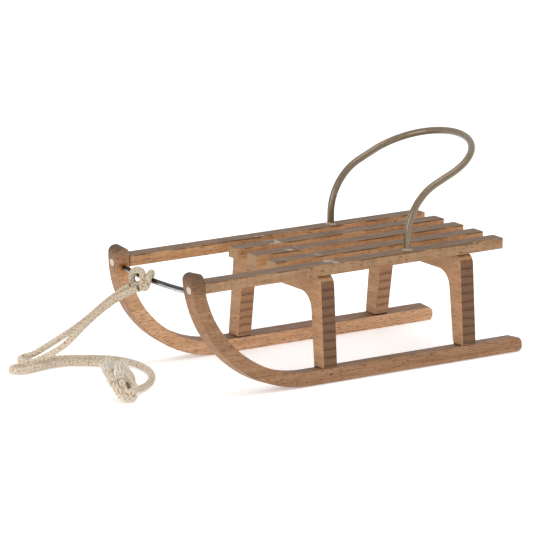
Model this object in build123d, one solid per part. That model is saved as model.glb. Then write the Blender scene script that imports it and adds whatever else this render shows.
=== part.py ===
from build123d import *
import math
import os

# A small wooden sledge: two bent-looking runners sawn from straight board, two
# one-piece trestles, a seat of five slats, a steel tow bar between the horns, a
# wire backrest hoop, and a doubled cotton pull rope with a knot at its end.
#
# Frame, in millimetres: +Z up, -X to the front, where the horns are, and -Y to the
# sledge's left. The origin is on the floor, under the middle of the woodwork.

# ---- overall ----
RUNNER_LENGTH = 175.8          # foremost point of a horn to the tail
FOOT_OUT = 37.0                # outer edge of a trestle's foot from the centre line
LEAN = 5.0                     # legs and runners lean inwards by this, in degrees
SEAT_UNDER = 47.5              # underside of the slats above the floor

# ---- runners ----
RUNNER_THICK = 6.5             # sole to top, the same all along the bend
RUNNER_WIDE = 7.4
SOLE_SANDED = 0.25             # taken off the inner edge of the sole, to stand level
BEND_ARCS = [(62.0, 51), (52.7, 34.5)]   # radius underneath, turn in degrees
HORN_TIP = 4.35                # straight end of the horn beyond the bend
HORN_ROUND = 0.446 * RUNNER_THICK        # corners of the horn's top
TAIL_ROUND_TOP = 0.49 * RUNNER_THICK
TAIL_ROUND_SOLE = 0.34 * RUNNER_THICK
WOOD_EDGE = 0.35               # sanded edges

# ---- trestles ----
TRESTLE_THICK = 7.3
LEG_WIDE = 7.5                 # at the foot
FRONT_LEG_INNER_LEAN = 6.3     # the inner faces lean more, so the legs widen upwards
REAR_LEG_INNER_LEAN = 8.0
CROSSBAR_DEEP = 8.9
ARCH_ROUND = 8.0               # inner corners under the crossbar
SHOULDER_ROUND = 5.0           # outer corners under the side rails
REAR_FOOT_NICK = (0.9, 2.8)    # inner corner of the rear feet, across and up
FRONT_TRESTLE_AT = 99.9        # front face, from the seat's rear end
REAR_TRESTLE_AT = 24.3

# ---- seat ----
SLAT_WIDE = 7.25
SLAT_THICK = 5.0
SLAT_PITCH = 14.65
SLAT_LENGTH = 113.2            # the three inner slats
TAIL_REACH = 8.8               # runners end this far behind the seat
RAIL_CLEAR = 0.05              # side rail to the back of the horn

# ---- tow bar and horn nails ----
TOW_BAR_DIA = 2.5
TOW_BAR_BOW = 2.3              # how far its middle stands forward
TOW_BAR_UP = 47.3
TOW_BAR_IN_HORN = 3.0          # depth of its hole
TOW_BAR_FIT = 0.03
NAIL_SHANK_DIA = 1.2
NAIL_LENGTH = 14.0
NAIL_HEAD_DIA = 3.5
NAIL_HEAD_THICK = 0.5
NAIL_HEAD_PROUD = 0.15
NAIL_OUT = 30.2                # from the centre line
NAIL_UP = 49.3

# ---- backrest hoop ----
WIRE_DIA = 3.2
HOOP_OUT = 29.1                # each leg from the centre line
HOOP_FOOT_AT = 50.3            # from the seat's rear end
HOOP_IN_RAIL = 4.0
HOOP_UPRIGHT = 5.0             # straight leg above the rail
HOOP_BEND = 25.0               # radius where the legs turn back
HOOP_SLOPE = 23.2              # rise of the upper part, in degrees
HOOP_ARMS = 9.0                # straight stretch before the head
HOOP_HEAD = 26.7               # depth of the elliptic head
GLUE_BEAD_WIDE = 0.75          # bead round each hoop foot, out from the wire
GLUE_BEAD_HIGH = 0.9

# ---- pull rope ----
ROPE_DIA = 3.0
HITCH_AT = 5.6                 # the hitch on the tow bar, from the centre line
HITCH_DIA = 10.2
HITCH_WIDE = 13.2
HITCH_HANGS = (-1.0, 0, -0.8)  # its middle from the bar's
KNOT_AT = (-108.7, -14.9, 4.7)
KNOT_DIA = 10.4
UPPER_ROUTE = [(-90.3, 10.6, 43.5), (-92.8, 17.0, 39.0), (-95.2, 26.0, 31.7),
               (-97.4, 34.6, 24.0), (-99.7, 43.2, 17.5), (-102.2, 51.6, 11.6),
               (-105.3, 58.2, 6.6), (-107.7, 62.6, 3.2), (-111.8, 66.4, 1.6),
               (-115.8, 60.6, 1.55), (-110.6, 56.8, 1.55), (-105.1, 57.7, 1.55),
               (-99.0, 56.5, 1.55), (-93.8, 54.1, 1.55), (-88.9, 51.2, 1.55),
               (-83.6, 47.8, 1.55), (-79.5, 44.4, 1.55), (-76.4, 39.5, 1.55),
               (-74.5, 32.6, 1.55), (-74.5, 24.6, 1.55), (-76.5, 15.6, 1.55),
               (-81.6, 6.0, 1.55), (-89.2, -2.0, 1.55), (-97.4, -7.6, 2.0),
               (-104.2, -12.4, 3.7)]
LOWER_ROUTE = [(-90.2, 5.2, 43.4), (-95.2, 11.6, 39.2), (-98.9, 19.6, 32.4),
               (-101.8, 27.0, 25.4), (-104.9, 33.4, 17.8), (-107.0, 39.2, 11.9),
               (-108.9, 45.2, 7.8), (-110.6, 50.2, 4.8), (-113.6, 53.6, 2.4),
               (-118.8, 54.4, 1.55), (-124.4, 53.4, 1.55), (-127.4, 49.0, 1.55),
               (-122.8, 45.4, 1.55), (-115.5, 47.2, 1.55), (-109.4, 48.6, 1.55),
               (-103.8, 49.0, 1.55), (-98.4, 47.6, 1.55), (-93.1, 44.5, 1.55),
               (-88.3, 40.6, 1.55), (-84.7, 35.5, 1.55), (-83.5, 29.3, 1.55),
               (-84.9, 20.8, 1.55), (-89.5, 10.1, 1.55), (-96.1, 0.8, 1.55),
               (-101.8, -5.4, 2.2), (-107.4, -10.0, 4.6)]
LONG_TAIL_ROUTE = [(-113.2, -14.8, 5.0), (-114.2, -7.8, 10.0), (-110.4, 1.6, 13.8)]
SHORT_TAIL_ROUTE = [(-110.0, -13.6, 7.6), (-108.6, -10.6, 11.4), (-106.6, -7.6, 14.8)]

# ---- worked out ----
TILT = math.radians(LEAN)
TAIL_X = RUNNER_LENGTH / 2
SEAT_REAR = TAIL_X - TAIL_REACH
SEAT_TOP = SEAT_UNDER + SLAT_THICK
SOLE_OUTER_UP = RUNNER_WIDE * math.sin(TILT) - SOLE_SANDED     # outer sole edge
FOOT_UP = SOLE_OUTER_UP + RUNNER_THICK * math.cos(TILT)        # outer foot edge
SOLE_OUT = FOOT_OUT + RUNNER_THICK * math.sin(TILT)
RAIL_OUT = 2 * SLAT_PITCH


def outer_y(z):
    """Distance of the legs' outer face from the centre line at a height."""
    return FOOT_OUT - (z - FOOT_UP) * math.tan(TILT)


def both_sides(left):
    """A left-hand piece and its mirror image."""
    return left, mirror(left, about=Plane.XZ)


def rounded(solid, radius=WOOD_EDGE):
    """The solid with all its edges sanded."""
    return fillet(solid.edges(), radius)


def tube(path, diameter):
    """A round bar along a path."""
    section = Plane(origin=path @ 0, z_dir=path % 0) * Circle(diameter / 2)
    return sweep(section, path=path)


# ---- runner ----
def bend(start, depth):
    """Tangent arcs from the flat up into the horn, depth inside the sole."""
    arcs, at, heading = [], Vector(*start), Vector(-1, 0)
    for radius, turn in BEND_ARCS:
        arc = JernArc(at, heading, radius - depth, -turn)
        arcs.append(arc)
        at, heading = arc @ 1, arc % 1
    return arcs


def bend_reach():
    """How far the horn stretches forward of where the bend leaves the floor."""
    angle, reach = 0, 0
    for radius, turn in BEND_ARCS:
        start, angle = angle, angle + math.radians(turn)
        reach += radius * (math.sin(angle) - math.sin(start))
    return reach + (HORN_TIP - HORN_ROUND) * math.cos(angle)


BEND_START = -RUNNER_LENGTH / 2 + bend_reach()


def runner_outline():
    sole = bend((BEND_START, 0), 0)
    top = bend((BEND_START, RUNNER_THICK), RUNNER_THICK)
    front, back = sole[-1] @ 1, top[-1] @ 1
    tip = (sole[-1] % 1) * HORN_TIP
    end = [Line(front, front + tip), Line(front + tip, back + tip), Line(back + tip, back)]
    edges = [Line((TAIL_X, 0), (BEND_START, 0)), *sole, *end, *top,
             Line((BEND_START, RUNNER_THICK), (TAIL_X, RUNNER_THICK)),
             Line((TAIL_X, RUNNER_THICK), (TAIL_X, 0))]
    face = make_face(edges)
    horn = face.vertices().sort_by(Axis.Y)[-2:]
    face = fillet(horn, HORN_ROUND)
    tail = face.vertices().sort_by(Axis.X)[-2:].sort_by(Axis.Y)
    face = fillet(tail[1], TAIL_ROUND_TOP)
    return fillet(face.vertices().sort_by(Axis.X)[-2:].sort_by(Axis.Y)[0], TAIL_ROUND_SOLE)


def on_lean(upright):
    """Lean a left-hand board, drawn upright on y = 0, onto the legs' outer plane."""
    return Pos(0, -SOLE_OUT, SOLE_OUTER_UP) * Rot(-LEAN, 0, 0) * upright


def left_runner():
    board = extrude(Plane.XZ * runner_outline(), -RUNNER_WIDE)
    board = on_lean(rounded(board))
    floor = Pos(0, 0, -5) * Box(400, 200, 10)
    return board - floor


def horn_back_x(z):
    """X of the back of a horn at a height, across the middle of the side rail."""
    up = (z - SOLE_OUTER_UP + (outer_y(z) - RAIL_OUT) * math.sin(TILT)) / math.cos(TILT)
    angle, x, height = 0, BEND_START, RUNNER_THICK
    for radius, turn in BEND_ARCS[:-1]:
        start, angle = angle, angle + math.radians(turn)
        inner = radius - RUNNER_THICK
        x -= inner * (math.sin(angle) - math.sin(start))
        height += inner * (math.cos(start) - math.cos(angle))
    inner = BEND_ARCS[-1][0] - RUNNER_THICK
    here = math.acos(math.cos(angle) - (up - height) / inner)
    return x - inner * (math.sin(here) - math.sin(angle))


# ---- trestles ----
def foot_nick(heel, splay, across, up):
    """The wedge worn off the inner corner of a left foot."""
    cut = [heel, heel + Vector(across * math.cos(TILT), across * math.sin(TILT)),
           heel + Vector(-up * splay, up), heel + Vector(-1, up / 2)]
    return extrude(Plane.YZ * make_face(Polyline(*cut, close=True)), TRESTLE_THICK)


def trestle(front_x, inner_lean, nick=None):
    """A one-piece trestle: crossbar, rounded inner corners and two splayed legs."""
    splay = math.tan(math.radians(inner_lean))
    inward = Vector(-math.cos(TILT), -math.sin(TILT))
    foot = Vector(FOOT_OUT, FOOT_UP)
    heel = foot + inward * LEG_WIDE
    under = SEAT_UNDER - CROSSBAR_DEEP
    arch = Vector(heel.X - (under - heel.Y) * splay, under)
    shoulder = Vector(outer_y(SEAT_UNDER), SEAT_UNDER)
    half = [Vector(0, under), arch, heel, foot, shoulder, Vector(0, SEAT_UNDER)]
    face = make_face(Polyline(*half, close=True))
    corner = face.vertices().sort_by_distance((arch.X, arch.Y))[0]
    face = fillet(corner, ARCH_ROUND)
    corner = face.vertices().sort_by_distance((shoulder.X, shoulder.Y))[0]
    face = fillet(corner, SHOULDER_ROUND)
    face += mirror(face, about=Plane.YZ)
    solid = extrude(Plane.YZ * face, TRESTLE_THICK)
    outline = solid.edges().filter_by(lambda e: abs((e % 0.5).X) < 0.5)
    solid = fillet([e for e in outline if FOOT_UP + 0.1 < e.center().Z < SEAT_UNDER - 0.1],
                   WOOD_EDGE)
    if nick:
        wedge = foot_nick(heel, splay, *nick)
        solid = solid - wedge - mirror(wedge, about=Plane.XZ)
    return Pos(front_x, 0, 0) * solid


# ---- seat ----
def slat(y):
    box = Box(SLAT_LENGTH, SLAT_WIDE, SLAT_THICK, align=(Align.MAX, Align.CENTER, Align.MIN))
    return Pos(SEAT_REAR, y, SEAT_UNDER) * rounded(box)


def left_rail():
    top = horn_back_x(SEAT_TOP) + RAIL_CLEAR
    under = horn_back_x(SEAT_UNDER) + RAIL_CLEAR
    side = Polyline((top, SEAT_TOP), (SEAT_REAR, SEAT_TOP), (SEAT_REAR, SEAT_UNDER),
                    (under, SEAT_UNDER), close=True)
    bar = extrude(Plane.XZ * make_face(side), SLAT_WIDE / 2, both=True)
    return Pos(0, -RAIL_OUT, 0) * rounded(bar)


# ---- tow bar and nails ----
def tow_bar_path():
    side = outer_y(TOW_BAR_UP) - RUNNER_WIDE / math.cos(TILT)
    end_x = horn_back_x(TOW_BAR_UP) - RUNNER_THICK / 2
    radius = (side ** 2 + TOW_BAR_BOW ** 2) / (2 * TOW_BAR_BOW)
    tip_y = side + TOW_BAR_IN_HORN
    tip_x = end_x - TOW_BAR_BOW + radius - math.sqrt(radius ** 2 - tip_y ** 2)
    return ThreePointArc((tip_x, -tip_y, TOW_BAR_UP), (end_x - TOW_BAR_BOW, 0, TOW_BAR_UP),
                         (tip_x, tip_y, TOW_BAR_UP))


def left_nail():
    """A flat-headed nail through the horn into the end of the side rail."""
    lean = math.radians(90 - sum(turn for _, turn in BEND_ARCS) + 4)
    face_x = horn_back_x(NAIL_UP) - RUNNER_THICK
    start = (face_x - NAIL_HEAD_PROUD, -NAIL_OUT, NAIL_UP)
    seat = Plane(origin=start, z_dir=(math.cos(lean), 0, math.sin(lean)))
    up = (Align.CENTER, Align.CENTER, Align.MIN)
    head = Cylinder(NAIL_HEAD_DIA / 2, NAIL_HEAD_THICK, align=up)
    rim = head.edges().sort_by(Axis.Z)[0]
    shank = Cylinder(NAIL_SHANK_DIA / 2, NAIL_LENGTH, align=up)
    return seat * (fillet(rim, NAIL_HEAD_THICK * 0.4) + shank)


# ---- backrest hoop ----
def hoop_half():
    """The left half of the wire's centre line, from its foot to the middle of the head."""
    slope = math.radians(HOOP_SLOPE)
    along = Vector(math.cos(slope), 0, math.sin(slope))
    foot_x = SEAT_REAR - HOOP_FOOT_AT
    knee_z = SEAT_TOP + HOOP_UPRIGHT
    start = Vector(foot_x, -HOOP_OUT, SEAT_TOP - HOOP_IN_RAIL)
    knee = Vector(foot_x, -HOOP_OUT, knee_z)
    turned = Vector(foot_x + HOOP_BEND * (1 - math.sin(slope)), -HOOP_OUT,
                    knee_z + HOOP_BEND * math.cos(slope))
    half_turn = (math.pi / 2 - slope) / 2
    halfway = Vector(foot_x + HOOP_BEND * (1 - math.cos(half_turn)), -HOOP_OUT,
                     knee_z + HOOP_BEND * math.sin(half_turn))
    neck = turned + along * HOOP_ARMS
    head = Plane(origin=neck + Vector(0, HOOP_OUT, 0), x_dir=along,
                 z_dir=(-math.sin(slope), 0, math.cos(slope)))
    round_head = head * EllipticalCenterArc((0, 0), HOOP_HEAD, HOOP_OUT, start_angle=-90,
                                           arc_size=90)
    return [Line(start, knee), ThreePointArc(knee, halfway, turned),
            Line(turned, neck), round_head]


def hoop():
    left = tube(Wire(hoop_half()), WIRE_DIA)
    return left + mirror(left, about=Plane.XZ)


def left_glue_bead():
    """A flared bead of glue round the foot of the hoop."""
    inner = WIRE_DIA / 2
    outer = inner + GLUE_BEAD_WIDE
    flare = ThreePointArc((outer, 0), (inner + GLUE_BEAD_WIDE * 0.3, GLUE_BEAD_HIGH * 0.3),
                          (inner, GLUE_BEAD_HIGH))
    section = make_face([Line((inner, 0), (outer, 0)), flare,
                         Line((inner, GLUE_BEAD_HIGH), (inner, 0))])
    bead = revolve(Plane.XZ * section, Axis.Z)
    return Pos(SEAT_REAR - HOOP_FOOT_AT, -HOOP_OUT, SEAT_TOP) * bead


# ---- pull rope ----
def rope_path(route):
    """Straight runs with the largest tangent arcs they allow; returns path and radii."""
    points = [Vector(*p) for p in route]
    radii = []
    for before, at, after in zip(points, points[1:], points[2:]):
        run = min((at - before).length, (after - at).length)
        half_turn = math.radians((at - before).get_angle(after - at)) / 2
        radii.append(0.45 * run / math.tan(half_turn))
    return FilletPolyline(*points, radius=radii), radii


def strand(name, route):
    path, radii = rope_path(route)
    solid = tube(path, ROPE_DIA)
    length = path.length
    ideal = math.pi * ROPE_DIA ** 2 / 4 * length
    print(f"{name}: length {length:.1f} mm, volume {solid.volume / ideal:.4f} of ideal, radii",
          " ".join(f"{r:.1f}" for r in radii))
    return solid


def hitch():
    """The outer shape of the cow hitch that grips the tow bar."""
    bar = tow_bar_path()
    middle = bar.position_at(0.5 + HITCH_AT / bar.length) + Vector(*HITCH_HANGS)
    barrel = fillet(Cylinder(HITCH_DIA / 2, HITCH_WIDE).edges(), HITCH_DIA * 0.25)
    return Plane(origin=middle, z_dir=(0, 1, 0)) * barrel


def knot():
    """The outer shape of the overhand knot, flat where it lies on the floor."""
    ball = Pos(*KNOT_AT) * Sphere(KNOT_DIA / 2)
    return ball - Pos(KNOT_AT[0], KNOT_AT[1], -5) * Box(40, 40, 10.1)


# ---- assemble ----
runner = left_runner()
rail = left_rail()
nail = left_nail()
tow_bar = tube(tow_bar_path(), TOW_BAR_DIA)
tow_bar_hole = tube(tow_bar_path(), TOW_BAR_DIA + 2 * TOW_BAR_FIT)
hoop_wire = hoop()
bead = left_glue_bead()
strands = [strand("upper strand", UPPER_ROUTE), strand("lower strand", LOWER_ROUTE)]
tails = [strand("long tail", LONG_TAIL_ROUTE), strand("short tail", SHORT_TAIL_ROUTE)]

nodes = {}
nodes["runner_left"], nodes["runner_right"] = both_sides(runner - tow_bar_hole - nail)
nodes["front_trestle"] = trestle(SEAT_REAR - FRONT_TRESTLE_AT, FRONT_LEG_INNER_LEAN)
nodes["rear_trestle"] = trestle(SEAT_REAR - REAR_TRESTLE_AT, REAR_LEG_INNER_LEAN,
                                REAR_FOOT_NICK)
nodes["side_rail_left"], nodes["side_rail_right"] = both_sides(rail - nail - hoop_wire)
nodes["seat_slat_left"] = slat(-SLAT_PITCH)
nodes["seat_slat_centre"] = slat(0)
nodes["seat_slat_right"] = slat(SLAT_PITCH)
nodes["tow_bar"] = tow_bar
nodes["horn_nail_left"], nodes["horn_nail_right"] = both_sides(nail)
nodes["backrest_hoop"] = hoop_wire
nodes["glue_bead_left"], nodes["glue_bead_right"] = both_sides(bead)
nodes["rope_hitch"] = hitch() - tow_bar_hole - strands[0] - strands[1]
nodes["rope_strand_upper"], nodes["rope_strand_lower"] = strands
nodes["rope_knot"] = knot() - strands[0] - strands[1] - tails[0] - tails[1]
nodes["rope_tail_long"], nodes["rope_tail_short"] = tails

os.makedirs("parts", exist_ok=True)
for name, shape in nodes.items():
    box = shape.bounding_box()
    print(f"{name}: {len(shape.solids())} solid, valid {shape.is_valid}, "
          f"x {box.min.X:.2f}..{box.max.X:.2f} y {box.min.Y:.2f}..{box.max.Y:.2f} "
          f"z {box.min.Z:.2f}..{box.max.Z:.2f}")
    export_step(shape, f"parts/{name}.step")
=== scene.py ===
import math

import bmesh
import bpy
from mathutils import Matrix, Vector


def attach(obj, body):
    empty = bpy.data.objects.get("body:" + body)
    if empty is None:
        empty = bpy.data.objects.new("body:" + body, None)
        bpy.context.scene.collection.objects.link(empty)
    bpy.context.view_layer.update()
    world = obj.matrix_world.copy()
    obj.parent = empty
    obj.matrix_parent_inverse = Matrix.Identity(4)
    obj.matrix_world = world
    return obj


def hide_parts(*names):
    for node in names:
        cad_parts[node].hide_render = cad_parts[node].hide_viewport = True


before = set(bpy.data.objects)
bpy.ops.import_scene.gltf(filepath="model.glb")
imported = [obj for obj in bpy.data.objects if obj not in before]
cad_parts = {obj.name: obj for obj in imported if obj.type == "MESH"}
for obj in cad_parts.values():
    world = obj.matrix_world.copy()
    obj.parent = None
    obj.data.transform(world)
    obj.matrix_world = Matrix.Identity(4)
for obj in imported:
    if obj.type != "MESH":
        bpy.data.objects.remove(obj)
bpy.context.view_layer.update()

MM = 0.001

# ---- camera ----
# A long lens from the horns' end, a little above the seat, with the left runner nearest.
# It looks at the middle of the sledge, half way up.
CAMERA_LOOKS_AT = Vector((-26.19, 0, 45.88)) * MM
CAMERA_AWAY = 2195.6 * MM
CAMERA_ROUND = math.radians(-34.82)
CAMERA_ABOVE = math.radians(13.73)
CAMERA_ROLL = math.radians(0.77)

back = Vector((math.sin(CAMERA_ROUND) * math.cos(CAMERA_ABOVE),
               -math.cos(CAMERA_ROUND) * math.cos(CAMERA_ABOVE), math.sin(CAMERA_ABOVE)))
level = Vector((math.cos(CAMERA_ROUND), math.sin(CAMERA_ROUND), 0))
upright = back.cross(level)
right = math.cos(CAMERA_ROLL) * level + math.sin(CAMERA_ROLL) * upright
up = back.cross(right)
lens = bpy.data.cameras.new("camera")
lens.lens = 337.7
lens.sensor_width = 36
lens.clip_end = 20
camera = bpy.data.objects.new("camera", lens)
camera.matrix_world = Matrix((right, up, back)).transposed().to_4x4()
camera.location = CAMERA_LOOKS_AT + back * CAMERA_AWAY
bpy.context.scene.collection.objects.link(camera)
bpy.context.scene.camera = camera

# ---- pull cord: the two standing strands ----
# One soft cotton cord, 3 mm thick, braided from eight yarns round a core. Doubled, it hangs
# from the tow bar to the floor, runs round in two loose loops and meets again at the knot.
ROPE_DIA = 3.0 * MM
UPPER_ROUTE = [(-90.3, 10.6, 43.5), (-92.8, 17.0, 39.0), (-95.2, 26.0, 31.7),
               (-97.4, 34.6, 24.0), (-99.7, 43.2, 17.5), (-102.2, 51.6, 11.6),
               (-105.3, 58.2, 6.6), (-107.7, 62.6, 3.2), (-111.8, 66.4, 1.6),
               (-115.8, 60.6, 1.55), (-110.6, 56.8, 1.55), (-105.1, 57.7, 1.55),
               (-99.0, 56.5, 1.55), (-93.8, 54.1, 1.55), (-88.9, 51.2, 1.55),
               (-83.6, 47.8, 1.55), (-79.5, 44.4, 1.55), (-76.4, 39.5, 1.55),
               (-74.5, 32.6, 1.55), (-74.5, 24.6, 1.55), (-76.5, 15.6, 1.55),
               (-81.6, 6.0, 1.55), (-89.2, -2.0, 1.55), (-97.4, -7.6, 2.0),
               (-104.2, -12.4, 3.7)]
LOWER_ROUTE = [(-90.2, 5.2, 43.4), (-95.2, 11.6, 39.2), (-98.9, 19.6, 32.4),
               (-101.8, 27.0, 25.4), (-104.9, 33.4, 17.8), (-107.0, 39.2, 11.9),
               (-108.9, 45.2, 7.8), (-110.6, 50.2, 4.8), (-113.6, 53.6, 2.4),
               (-118.8, 54.4, 1.55), (-124.4, 53.4, 1.55), (-127.4, 49.0, 1.55),
               (-122.8, 45.4, 1.55), (-115.5, 47.2, 1.55), (-109.4, 48.6, 1.55),
               (-103.8, 49.0, 1.55), (-98.4, 47.6, 1.55), (-93.1, 44.5, 1.55),
               (-88.3, 40.6, 1.55), (-84.7, 35.5, 1.55), (-83.5, 29.3, 1.55),
               (-84.9, 20.8, 1.55), (-89.5, 10.1, 1.55), (-96.1, 0.8, 1.55),
               (-101.8, -5.4, 2.2), (-107.4, -10.0, 4.6)]
BRAID_PITCH = 9.5 * MM         # one turn of a yarn round the cord
YARN_WIDE = 0.72 * MM          # half its width and half its thickness
YARN_THICK = 0.42 * MM
YARN_WEAVE = 0.13 * MM         # how far it goes over and under the others
YARN_SIDES = 6
YARNS_EACH_WAY = 4
BRAID_RADIUS = 1.54 * MM       # the cord's outside, over the yarns
STEPS_A_TURN = 32


def cord_line(name, route, step):
    """Evenly spaced points along the smooth line through a route given in mm."""
    line = bpy.data.curves.new(name, "CURVE")
    line.dimensions = "3D"
    line.resolution_u = 24
    spline = line.splines.new("NURBS")
    spline.points.add(len(route) - 1)
    for point, place in zip(spline.points, route):
        point.co = (*(Vector(place) * MM), 1)
    spline.order_u = 3
    spline.use_endpoint_u = True
    holder = bpy.data.objects.new(name, line)
    traced = bpy.data.meshes.new_from_object(holder)
    fine = [v.co.copy() for v in traced.vertices]
    bpy.data.objects.remove(holder)
    far = [0.0]
    for a, b in zip(fine, fine[1:]):
        far.append(far[-1] + (b - a).length)
    count = max(8, round(far[-1] / step))
    points, k = [], 0
    for i in range(count + 1):
        want = far[-1] * i / count
        while k < len(fine) - 2 and far[k + 1] < want:
            k += 1
        t = (want - far[k]) / max(far[k + 1] - far[k], 1e-9)
        points.append(fine[k].lerp(fine[k + 1], t))
    return points, far[-1]


def cross_axes(points):
    """Two axes across the line at each point, carried along it without twisting."""
    axes, side = [], None
    for i, p in enumerate(points):
        ahead = (points[min(i + 1, len(points) - 1)] - points[max(i - 1, 0)]).normalized()
        if side is None:
            side = ahead.orthogonal().normalized()
        side = (side - side.dot(ahead) * ahead).normalized()
        axes.append((side.copy(), ahead.cross(side), ahead))
    return axes


def skin(mesh, rings, finish=0):
    """Faces round a row of rings of vertices, closed at both ends."""
    made = [[mesh.verts.new(v) for v in ring] for ring in rings]
    faces = [mesh.faces.new(list(reversed(made[0]))), mesh.faces.new(made[-1])]
    for a, b in zip(made, made[1:]):
        for i in range(len(a)):
            j = (i + 1) % len(a)
            faces.append(mesh.faces.new((a[i], a[j], b[j], b[i])))
    for face in faces:
        face.material_index = finish


def lay_yarns(mesh, points, radius):
    """Yarns plaited over and under each other along a line, with a core inside."""
    axes = cross_axes(points)
    shrink = radius / (ROPE_DIA / 2)
    middle = radius - (YARN_THICK + YARN_WEAVE) * shrink
    step = sum((b - a).length for a, b in zip(points, points[1:])) / (len(points) - 1)
    skin(mesh, [[p + (x * math.cos(t) + y * math.sin(t)) * middle * 0.90
                 for t in (k * math.tau / 8 for k in range(8))]
                for p, (x, y, _) in zip(points[::3], axes[::3])], 1)
    for hand in (1, -1):
        for yarn in range(YARNS_EACH_WAY):
            rings = []
            for i, (p, (x, y, _)) in enumerate(zip(points, axes)):
                turn = math.tau * i * step / (BRAID_PITCH * shrink)
                angle = hand * turn + yarn * math.tau / YARNS_EACH_WAY
                out = x * math.cos(angle) + y * math.sin(angle)
                wide = x * -math.sin(angle) + y * math.cos(angle)
                lift = hand * YARN_WEAVE * shrink * math.cos(YARNS_EACH_WAY * turn)
                mid = p + out * (middle + lift)
                rings.append([mid + wide * YARN_WIDE * shrink * math.cos(s)
                              + out * YARN_THICK * shrink * math.sin(s)
                              for s in (k * math.tau / YARN_SIDES for k in range(YARN_SIDES))])
            skin(mesh, rings)


def finish_mesh(name, mesh, materials):
    """A smooth, outward-facing piece of the cord with its finish."""
    bmesh.ops.recalc_face_normals(mesh, faces=mesh.faces)
    data = bpy.data.meshes.new(name)
    mesh.to_mesh(data)
    mesh.free()
    data.shade_smooth()
    for material in materials:
        data.materials.append(material)
    piece = bpy.data.objects.new(name, data)
    bpy.context.scene.collection.objects.link(piece)
    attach(piece, "root")
    return piece


def speckle(tree, where, size, low, high, detail=2):
    """A mask of soft spots of a size, in metres or across a stretched pattern."""
    noise = tree.nodes.new("ShaderNodeTexNoise")
    noise.inputs["Scale"].default_value = 1 / size
    noise.inputs["Detail"].default_value = detail
    tree.links.new(where, noise.inputs["Vector"])
    ramp = tree.nodes.new("ShaderNodeMapRange")
    ramp.inputs["From Min"].default_value = low
    ramp.inputs["From Max"].default_value = high
    tree.links.new(noise.outputs["Fac"], ramp.inputs["Value"])
    return ramp.outputs["Result"]


def tint(tree, mask, under, over):
    """One colour or pattern over another where the mask is high."""
    mix = tree.nodes.new("ShaderNodeMix")
    mix.data_type = "RGBA"
    tree.links.new(mask, mix.inputs["Factor"])
    for socket, value in ((mix.inputs["A"], under), (mix.inputs["B"], over)):
        if isinstance(value, bpy.types.NodeSocket):
            tree.links.new(value, socket)
        else:
            socket.default_value = (*value, 1)
    return mix.outputs["Result"]


def beyond(tree, place, axis, none, full):
    """A mask that rises from none to full along an axis of the piece's place."""
    split = tree.nodes.new("ShaderNodeSeparateXYZ")
    tree.links.new(place, split.inputs["Vector"])
    ramp = tree.nodes.new("ShaderNodeMapRange")
    ramp.inputs["From Min"].default_value = none
    ramp.inputs["From Max"].default_value = full
    tree.links.new(split.outputs[axis], ramp.inputs["Value"])
    return ramp.outputs["Result"]


def stain(tree, mask, colour, strength):
    """The colour multiplied by another where the mask is high."""
    mix = tree.nodes.new("ShaderNodeMix")
    mix.data_type = "RGBA"
    mix.blend_type = "MULTIPLY"
    tree.links.new(mask, mix.inputs["Factor"])
    tree.links.new(colour, mix.inputs["A"])
    mix.inputs["B"].default_value = (*strength, 1)
    return mix.outputs["Result"]


def new_finish(name, roughness):
    """A material with an empty colour, and its shader and surface-following coordinates."""
    material = bpy.data.materials.new(name)
    material.use_nodes = True
    tree = material.node_tree
    shader = tree.nodes["Principled BSDF"]
    shader.inputs["Roughness"].default_value = roughness
    place = tree.nodes.new("ShaderNodeTexCoord").outputs["Object"]
    return material, tree, shader, place


def rough_up(tree, shader, height, depth):
    """Bumps from a pattern, so deep in metres."""
    bump = tree.nodes.new("ShaderNodeBump")
    bump.inputs["Distance"].default_value = depth
    tree.links.new(height, bump.inputs["Height"])
    tree.links.new(bump.outputs["Normal"], shader.inputs["Normal"])


cotton, tree, shader, place = new_finish("cotton", 0.92)
shader.inputs["Sheen Weight"].default_value = 0.25
COTTON_PALE = (0.72, 0.63, 0.51)
COTTON_SHADE = (0.57, 0.48, 0.37)
COTTON_OCHRE = (0.42, 0.22, 0.075)
COTTON_PAINTED_SHADE = (0.82, 0.79, 0.74)   # painted shade: darker higher up, towards the bar
CORE_PAINTED_SHADE_DARK = (0.24, 0.175, 0.11)
CORE_PAINTED_SHADE_PALE = (0.38, 0.30, 0.205)
fuzz = speckle(tree, place, 0.55 * MM, 0.36, 0.64)
fleece = tint(tree, fuzz, COTTON_SHADE, COTTON_PALE)
flecks = speckle(tree, place, 0.9 * MM, 0.60, 0.645)
colour = tint(tree, flecks, fleece, COTTON_OCHRE)
# Painted shade: the standing strands are coloured darker from 6 mm up, towards the bar.
shade_up_high = beyond(tree, place, 2, 6 * MM, 24 * MM)
tree.links.new(stain(tree, shade_up_high, colour, COTTON_PAINTED_SHADE), shader.inputs["Base Color"])
rough_up(tree, shader, fuzz, 0.06 * MM)

# Painted shade: the core, seen only in the gaps between the yarns, is coloured dark brown.
cotton_core, tree, shader, place = new_finish("cotton_core", 0.95)
lint = speckle(tree, place, 0.2 * MM, 0.35, 0.65)
tree.links.new(tint(tree, lint, CORE_PAINTED_SHADE_DARK, CORE_PAINTED_SHADE_PALE), shader.inputs["Base Color"])


def braid(name, route, radius=BRAID_RADIUS):
    """A length of the braided cord along a route, and its line and length."""
    points, length = cord_line(name, route, BRAID_PITCH / STEPS_A_TURN)
    mesh = bmesh.new()
    lay_yarns(mesh, points, radius)
    return finish_mesh(name, mesh, [cotton, cotton_core]), points, length


upper, upper_line, upper_length = braid("cord_upper_strand", UPPER_ROUTE)
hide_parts("rope_strand_upper")
lower, lower_line, lower_length = braid("cord_lower_strand", LOWER_ROUTE)
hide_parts("rope_strand_lower")

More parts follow.
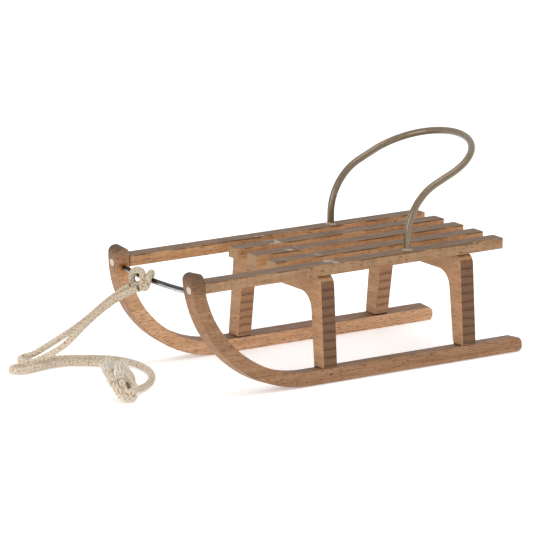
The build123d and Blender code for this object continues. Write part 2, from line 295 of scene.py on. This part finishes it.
# ---- pull cord: the hitch ----
# The doubled cord is looped round the tow bar and its ends are drawn through the loop, so
# that one bight stands in front of the bar and both strands leave from under it.
HITCH_ROUTE = [(-90.3, 10.6, 43.5), (-89.1, 9.6, 43.7), (-87.6, 7.4, 44.4), (-84.4, 7.6, 44.2),
               (-82.6, 7.0, 46.4), (-83.6, 4.4, 49.6), (-86.2, 1.4, 50.4), (-88.7, -0.9, 49.5),
               (-89.3, -1.3, 47.1), (-89.8, -0.4, 44.9), (-90.3, 1.0, 43.9), (-90.9, 1.0, 46.2),
               (-90.4, 1.0, 49.0), (-89.4, 3.0, 50.9), (-88.6, 7.2, 51.1), (-88.5, 10.9, 49.8),
               (-88.7, 12.4, 47.6), (-88.9, 12.2, 45.7), (-88.4, 11.6, 43.8), (-86.8, 10.6, 42.6),
               (-88.0, 7.6, 42.4), (-89.5, 6.0, 42.9), (-90.2, 5.2, 43.4)]
HITCH_CORD = 1.58 * MM         # its radius: the braid swells where it is bent round the bar

hitch, _, _ = braid("cord_hitch", HITCH_ROUTE, HITCH_CORD)
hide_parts("rope_hitch")

# ---- pull cord: the knot ----
# An overhand knot tied in both strands together and pulled tight. Each strand goes in
# through the middle, round the outside and back through, and comes out as a tail.
KNOT_FIRST = [(-104.2, -12.4, 3.7), (-104.6, -13.4, 6.2), (-106.0, -12.8, 8.6),
              (-109.2, -11.9, 9.0), (-111.6, -11.4, 6.4), (-110.9, -12.4, 2.9),
              (-107.4, -13.6, 1.6), (-105.6, -15.6, 2.0), (-107.4, -17.4, 2.0),
              (-110.4, -17.9, 2.0), (-113.0, -17.6, 3.2), (-114.3, -15.9, 5.6),
              (-114.0, -12.7, 7.8)]
KNOT_SECOND = [(-107.4, -10.0, 4.6), (-105.8, -11.6, 6.6), (-104.9, -14.6, 6.6),
               (-106.2, -16.8, 4.9), (-108.6, -17.6, 4.2), (-110.9, -16.8, 4.8),
               (-111.4, -15.2, 6.8), (-110.4, -13.2, 9.0)]
KNOT_CORD = 1.8 * MM           # its radius in the knot

knot_mesh = bmesh.new()
for route in (KNOT_FIRST, KNOT_SECOND):
    points, _ = cord_line("knot_line", route, BRAID_PITCH / STEPS_A_TURN)
    lay_yarns(knot_mesh, points, KNOT_CORD)
knot = finish_mesh("cord_knot", knot_mesh, [cotton, cotton_core])
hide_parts("rope_knot")

# ---- pull cord: the frayed ends ----
# Past the knot the two cut ends are short. The braid opens into loose white yarns, which
# lie back over the loops on the floor.
LONG_TAIL = [(-114.0, -12.7, 7.8), (-112.9, -8.1, 9.7), (-111.2, -3.4, 11.6)]
SHORT_TAIL = [(-110.4, -13.2, 9.0), (-109.2, -11.0, 10.8), (-108.6, -9.8, 11.8)]
LONG_FRAY = (-108.8, 1.3, 14.2)
SHORT_FRAY = (-106.6, -7.4, 15.6)
FRAY_YARNS = 90
FRAY_THICK = 0.2 * MM
TAIL_CORD = 2.1 * MM           # its radius where the cut ends have begun to open
GOLDEN = math.radians(137.5)

loose_cotton, tree, shader, place = new_finish("loose_cotton", 0.95)
shader.inputs["Sheen Weight"].default_value = 0.3
fuzz = speckle(tree, place, 0.3 * MM, 0.3, 0.7)
tree.links.new(tint(tree, fuzz, (0.60, 0.53, 0.43), (0.82, 0.77, 0.68)), shader.inputs["Base Color"])
rough_up(tree, shader, fuzz, 0.05 * MM)


def frayed(name, route, to, spread, length):
    """A braided tail that ends in a brush of loose yarns."""
    points, _ = cord_line(name, route, BRAID_PITCH / STEPS_A_TURN)
    mesh = bmesh.new()
    lay_yarns(mesh, points, TAIL_CORD)
    x, y, ahead = cross_axes(points)[-1]
    start = points[-1] - ahead * 2.0 * MM
    aim = (Vector(to) * MM - points[-1]).normalized()
    for k in range(FRAY_YARNS):
        reach = math.sqrt((k + 0.5) / FRAY_YARNS)
        out = x * math.cos(k * GOLDEN) + y * math.sin(k * GOLDEN)
        run = length * (0.72 + 0.28 * math.cos(7.3 * k))
        bend = (x * math.sin(5.1 * k) + y * math.cos(3.7 * k)) * 0.5 * MM
        rings = []
        for i in range(7):
            t = i / 6
            mid = start + out * (reach * 2.2 * MM) + aim * run * t
            mid += out * spread * reach * t * t + bend * math.sin(math.pi * t)
            thick = FRAY_THICK * (1.25 - 0.7 * t)
            rings.append([mid + (x * math.cos(s) + y * math.sin(s)) * thick
                          for s in (j * math.tau / 5 for j in range(5))])
        skin(mesh, rings, 2)
    return finish_mesh(name, mesh, [cotton, cotton_core, loose_cotton])


long_tail = frayed("cord_long_tail", LONG_TAIL, LONG_FRAY, 1.9 * MM, 7.2 * MM)
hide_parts("rope_tail_long")
short_tail = frayed("cord_short_tail", SHORT_TAIL, SHORT_FRAY, 2.3 * MM, 6.2 * MM)
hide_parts("rope_tail_short")

# ---- runners ----
# Two beech boards that rise into horns in front, planed and varnished. The grain runs
# straight along the sledge, in the horns too, with the short dark dashes of beech rays.
RUNNER_TONES = [(0.215, 0.10, 0.043), (0.305, 0.158, 0.075), (0.39, 0.218, 0.115)]
RAY_BROWN = (0.105, 0.046, 0.02)
BAR_HOLE = (0.0838, 0.0262, 0.0473)     # a little oil has soaked in round the bar's hole
OIL_BROWN = (0.85, 0.62, 0.40)
RUNNER_TOP_PAINTED_SHADE_DARK = (0.13, 0.07, 0.038)
RUNNER_TOP_PAINTED_SHADE_PALE = (0.27, 0.16, 0.095)
HORN_HANDLED = (0.42, 0.40, 0.38)       # the tops of the horns are darkened by hands
PALER_BOARD = (1.2, 1.2, 1.22)          # the right runner's board is a paler one
PALER_FACE = (1.62, 1.78, 1.95)         # palest on its flat faces


def stretched(tree, place, along, across, deep):
    """Coordinates measured in lengths of a streak: along X, across Y and down Z."""
    mapping = tree.nodes.new("ShaderNodeMapping")
    mapping.inputs["Scale"].default_value = (1 / along, 1 / across, 1 / deep)
    tree.links.new(place, mapping.inputs["Vector"])
    return mapping.outputs["Vector"]


def facing(tree, axis, least, most):
    """A mask of the faces that look along an axis, 0 to 2, either way or upwards."""
    split = tree.nodes.new("ShaderNodeSeparateXYZ")
    normal = tree.nodes.new("ShaderNodeNewGeometry").outputs["Normal"]
    tree.links.new(normal, split.inputs["Vector"])
    size = tree.nodes.new("ShaderNodeMath")
    size.operation = "ABSOLUTE" if axis != 2 else "ADD"
    size.inputs[1].default_value = 0
    tree.links.new(split.outputs[axis], size.inputs[0])
    ramp = tree.nodes.new("ShaderNodeMapRange")
    ramp.inputs["From Min"].default_value = least
    ramp.inputs["From Max"].default_value = most
    tree.links.new(size.outputs[0], ramp.inputs["Value"])
    return ramp.outputs["Result"]


def beech(tree, place, tones, streak, rays, seen):
    """Colour and grain height of long-grained beech with ray flecks, sizes in mm."""
    dark, middle, light = tones
    fine = speckle(tree, stretched(tree, place, *(s * MM for s in streak)), 1, 0.34, 0.66)
    broad = speckle(tree, stretched(tree, place, *(s * 5 * MM for s in streak)), 1, 0.3, 0.7)
    grain = tint(tree, broad, tint(tree, fine, dark, middle), tint(tree, fine, middle, light))
    fleck = speckle(tree, stretched(tree, place, *(s * MM for s in rays)), 1, *seen, detail=0)
    return tint(tree, fleck, grain, RAY_BROWN), fine


def both(tree, first, second):
    """Where two masks meet."""
    return tint(tree, first, (0, 0, 0), second)


def dress(nodes, material):
    """The finish goes into the slots of pieces whose shape is already right."""
    for name in nodes:
        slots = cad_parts[name].material_slots
        for slot in slots:
            slot.material = material
        if not slots:
            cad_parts[name].data.materials.append(material)


runner_beech, tree, shader, place = new_finish("runner_beech", 0.5)
shader.inputs["Specular IOR Level"].default_value = 0.3
colour, grain = beech(tree, place, RUNNER_TONES, (9, 0.5, 0.4), (2.6, 1.1, 0.24), (0.65, 0.72))
# Painted shade: the top faces are coloured darker and greyer than the sides.
topside = facing(tree, 2, 0.55, 0.9)
colour = tint(tree, topside, colour, tint(tree, grain, RUNNER_TOP_PAINTED_SHADE_DARK, RUNNER_TOP_PAINTED_SHADE_PALE))
near_bar = tree.nodes.new("ShaderNodeVectorMath")
near_bar.operation = "ABSOLUTE"
tree.links.new(place, near_bar.inputs[0])
hole = tree.nodes.new("ShaderNodeVectorMath")
hole.operation = "DISTANCE"
hole.inputs[1].default_value = BAR_HOLE
tree.links.new(near_bar.outputs["Vector"], hole.inputs[0])
reach = tree.nodes.new("ShaderNodeMapRange")
reach.inputs["From Min"].default_value = 5.5 * MM
reach.inputs["From Max"].default_value = 1.5 * MM
tree.links.new(hole.outputs["Value"], reach.inputs["Value"])
colour = stain(tree, reach.outputs["Result"], colour, OIL_BROWN)
colour = stain(tree, beyond(tree, place, 2, 44 * MM, 56 * MM), colour, HORN_HANDLED)
right_hand = beyond(tree, place, 1, -5 * MM, 5 * MM)
colour = stain(tree, right_hand, colour, PALER_BOARD)
colour = stain(tree, both(tree, right_hand, facing(tree, 1, 0.8, 0.95)), colour, PALER_FACE)
tree.links.new(colour, shader.inputs["Base Color"])
rough_up(tree, shader, grain, 0.03 * MM)
dress(["runner_left", "runner_right"], runner_beech)

# ---- trestles ----
# Each is sawn in one piece from a beech board with the grain across the sledge, so that the
# outer faces of the legs are dark end grain with rings. They are glued on the runners.
TRESTLE_TONES = [(0.34, 0.172, 0.08), (0.42, 0.232, 0.115), (0.50, 0.288, 0.152)]
RING_PITCH = 3.7 * MM
RING_DARK = (0.055, 0.022, 0.009)
RING_PALE = (0.20, 0.098, 0.045)
PORE_BROWN = (0.135, 0.064, 0.03)
PALER_ENDS = (2.3, 2.5, 2.7)            # the right-hand legs' ends are paler
GLUE_LINE_UP = 6.75 * MM
GLUE_BROWN = (0.06, 0.026, 0.012)

trestle_beech, tree, shader, place = new_finish("trestle_beech", 0.55)
shader.inputs["Specular IOR Level"].default_value = 0.3
colour, grain = beech(tree, place, TRESTLE_TONES, (0.5, 8, 0.8), (0.6, 3.0, 0.3), (0.72, 0.78))
rings = tree.nodes.new("ShaderNodeTexWave")
rings.wave_type = "BANDS"
rings.bands_direction = "Z"
rings.wave_profile = "SAW"
rings.inputs["Scale"].default_value = 0.314 / RING_PITCH
rings.inputs["Distortion"].default_value = 1.6
rings.inputs["Detail"].default_value = 2
rings.inputs["Detail Scale"].default_value = 1.5
tree.links.new(place, rings.inputs["Vector"])
pores = speckle(tree, place, 0.35 * MM, 0.35, 0.65)
year = tree.nodes.new("ShaderNodeMapRange")
year.inputs["From Min"].default_value = 0.15
year.inputs["From Max"].default_value = 0.5
tree.links.new(rings.outputs["Fac"], year.inputs["Value"])
endgrain = tint(tree, year.outputs["Result"], RING_DARK, RING_PALE)
endgrain = tint(tree, pores, endgrain, PORE_BROWN)
ends = facing(tree, 1, 0.80, 0.93)
endgrain = stain(tree, beyond(tree, place, 1, -5 * MM, 5 * MM), endgrain, PALER_ENDS)
colour = tint(tree, ends, colour, endgrain)
glued = beyond(tree, place, 2, GLUE_LINE_UP + 0.45 * MM, GLUE_LINE_UP)
colour = tint(tree, glued, colour, GLUE_BROWN)
tree.links.new(colour, shader.inputs["Base Color"])
rough_up(tree, shader, grain, 0.03 * MM)
dress(["front_trestle", "rear_trestle"], trestle_beech)

# ---- seat: rails and slats ----
# Five planed beech strips, the two outer ones longer and meeting the backs of the horns.
# Their tops are coloured darker and greyer as painted shade, and the sawn front ends are paler.
SEAT_TONES = [(0.26, 0.132, 0.058), (0.355, 0.20, 0.10), (0.43, 0.262, 0.145)]
EDGE_PAINTED_SHADE = (0.07, 0.03, 0.012)
TOP_PALE_PATCH = (0.36, 0.29, 0.235)
SEAT_TOP_PAINTED_SHADE_DARK = (0.105, 0.055, 0.027)
SEAT_TOP_PAINTED_SHADE_PALE = (0.25, 0.15, 0.085)
PLANER_MARK = (0.86, 0.85, 0.83)
BETWEEN_PAINTED_LIGHT = (1.45, 1.36, 1.26)      # painted light: the sides between the strips are made paler
SAWN_DARK = (0.30, 0.175, 0.088)
SAWN_PALE = (0.40, 0.25, 0.135)


def within(tree, place):
    """A mask of what lies between the outer faces of the two side rails."""
    inside = beyond(tree, place, 1, -31 * MM, -30 * MM)
    return tint(tree, beyond(tree, place, 1, 31 * MM, 32 * MM), inside, (0, 0, 0))


seat_beech, tree, shader, place = new_finish("seat_beech", 0.5)
shader.inputs["Specular IOR Level"].default_value = 0.3
colour, grain = beech(tree, place, SEAT_TONES, (11, 0.45, 0.45), (3.0, 0.3, 0.3), (0.70, 0.76))
# Painted shade: the top faces are coloured darker and greyer than the sides.
topside = facing(tree, 2, 0.6, 0.9)
colour = tint(tree, topside, colour, tint(tree, grain, SEAT_TOP_PAINTED_SHADE_DARK, SEAT_TOP_PAINTED_SHADE_PALE))
# Faint marks of the planer across the sides, and pale patches on the tops near the front.
chatter = speckle(tree, stretched(tree, place, 1.6 * MM, 40 * MM, 9 * MM), 1, 0.40, 0.60)
colour = stain(tree, chatter, colour, PLANER_MARK)
band = speckle(tree, stretched(tree, place, 5 * MM, 9 * MM, 9 * MM), 1, 0.50, 0.56)
band = both(tree, beyond(tree, place, 0, -17 * MM, -16 * MM), band)
band = tint(tree, beyond(tree, place, 0, -10 * MM, -9 * MM), band, (0, 0, 0))
colour = tint(tree, both(tree, topside, band), colour, TOP_PALE_PATCH)
# Painted shade: the top edges of the long sides are coloured dark in patches, at the gaps. Painted
# light: the sides between the strips are made paler.
patchy = speckle(tree, stretched(tree, place, 14 * MM, 2 * MM, 2 * MM), 1, 0.42, 0.52)
gap_shade_line = both(tree, beyond(tree, place, 2, 51.7 * MM, 52.15 * MM), patchy)
sides = facing(tree, 1, 0.8, 0.95)
colour = stain(tree, both(tree, sides, within(tree, place)), colour, BETWEEN_PAINTED_LIGHT)
colour = tint(tree, both(tree, sides, gap_shade_line), colour, EDGE_PAINTED_SHADE)
sawn = tint(tree, speckle(tree, stretched(tree, place, 1 * MM, 3 * MM, 0.25 * MM), 1, 0.3, 0.7),
            SAWN_DARK, SAWN_PALE)
colour = tint(tree, facing(tree, 0, 0.8, 0.95), colour, sawn)
colour = tint(tree, beyond(tree, place, 0, -80.7 * MM, -81.1 * MM), colour, GLUE_BROWN)
tree.links.new(colour, shader.inputs["Base Color"])
rough_up(tree, shader, grain, 0.03 * MM)
dress(["side_rail_left", "side_rail_right", "seat_slat_left", "seat_slat_centre",
       "seat_slat_right"], seat_beech)

# ---- tow bar ----
# A piece of bright plated wire, bowed forward, held in a blind hole in each horn.
plated, tree, shader, place = new_finish("plated_wire", 0.16)
shader.inputs["Metallic"].default_value = 1
# Painted reflection: the underside is coloured bright and the top dark, both in streaks along the
# wire; the streaks also make fine bumps.
lengthwise_streaks = speckle(tree, stretched(tree, place, 0.4 * MM, 6 * MM, 0.4 * MM), 1, 0.3, 0.7)
painted_reflection_below = tint(tree, lengthwise_streaks, (0.22, 0.22, 0.225), (0.62, 0.62, 0.62))
painted_reflection_above = tint(tree, lengthwise_streaks, (0.035, 0.037, 0.045), (0.16, 0.165, 0.18))
colour = tint(tree, facing(tree, 2, 0.0, 0.25), painted_reflection_below, painted_reflection_above)
tree.links.new(colour, shader.inputs["Base Color"])
rough_up(tree, shader, lengthwise_streaks, 0.01 * MM)
dress(["tow_bar"], plated)

# ---- horn nails ----
# A dull steel nail through the front of each horn into the end of the side rail.
dull_steel, tree, shader, place = new_finish("dull_steel", 0.45)
shader.inputs["Metallic"].default_value = 0.75
patchy = speckle(tree, place, 0.5 * MM, 0.35, 0.65)
colour = tint(tree, patchy, (0.48, 0.41, 0.32), (0.66, 0.58, 0.47))
tree.links.new(colour, shader.inputs["Base Color"])
rough_up(tree, shader, patchy, 0.02 * MM)
dress(["horn_nail_left", "horn_nail_right"], dull_steel)

# ---- backrest hoop ----
# One length of steel wire bent to a hoop and lacquered olive brown, pushed into a hole in
# each side rail and glued there.
lacquer, tree, shader, place = new_finish("olive_lacquer", 0.3)
shader.inputs["Metallic"].default_value = 0.35
shader.inputs["Coat Weight"].default_value = 0.4
mottle = speckle(tree, place, 1.4 * MM, 0.35, 0.65)
colour = tint(tree, mottle, (0.165, 0.118, 0.068), (0.205, 0.150, 0.092))
tree.links.new(colour, shader.inputs["Base Color"])
rough_up(tree, shader, speckle(tree, place, 0.9 * MM, 0.3, 0.7), 0.006 * MM)
dress(["backrest_hoop"], lacquer)

# ---- glue beads ----
# A small ring of clear glue round each foot of the hoop, glossy and yellowed.
clear_glue, tree, shader, place = new_finish("clear_glue", 0.12)
shader.inputs["Coat Weight"].default_value = 0.6
cloud = speckle(tree, place, 0.6 * MM, 0.35, 0.65)
colour = tint(tree, cloud, (0.24, 0.15, 0.085), (0.46, 0.34, 0.23))
tree.links.new(colour, shader.inputs["Base Color"])
rough_up(tree, shader, cloud, 0.05 * MM)
dress(["glue_bead_left", "glue_bead_right"], clear_glue)

# ---- floor and light ----
# A white floor in a white room, with one large soft lamp in front on the left and a weaker
# one overhead.
bpy.ops.object.select_all(action="DESELECT")
bpy.ops.mesh.primitive_plane_add(size=14, location=(0, 0, -0.05 * MM))
floor = bpy.context.object
floor.name = "floor"
white, tree, shader, place = new_finish("white_floor", 0.9)
shader.inputs["Specular IOR Level"].default_value = 0.1
shader.inputs["Emission Color"].default_value = (1, 1, 1, 1)
shader.inputs["Emission Strength"].default_value = 0.32
paper = speckle(tree, place, 0.02, 0.2, 0.8)
colour = tint(tree, paper, (0.955, 0.955, 0.955), (0.965, 0.965, 0.965))
tree.links.new(colour, shader.inputs["Base Color"])
floor.data.materials.append(white)

room = bpy.data.worlds.new("white_room")
bpy.context.scene.world = room
room.use_nodes = True
room.node_tree.nodes["Background"].inputs["Color"].default_value = (1, 1, 1, 1)
room.node_tree.nodes["Background"].inputs["Strength"].default_value = 0.76
bpy.context.scene.view_settings.view_transform = "Standard"


def lamp(name, place, aim, size, power):
    """A square soft box at a place, turned to shine at a point."""
    data = bpy.data.lights.new(name, "AREA")
    data.size = size
    data.energy = power
    box = bpy.data.objects.new(name, data)
    box.location = place
    box.rotation_euler = (Vector(aim) - Vector(place)).to_track_quat("-Z", "Y").to_euler()
    bpy.context.scene.collection.objects.link(box)


lamp("front_box", (-1.9, -0.55, 0.6), (0, 0, 0.03), 0.9, 11)
lamp("top_box", (0.2, -0.2, 1.6), (0, 0, 0), 1.2, 8)
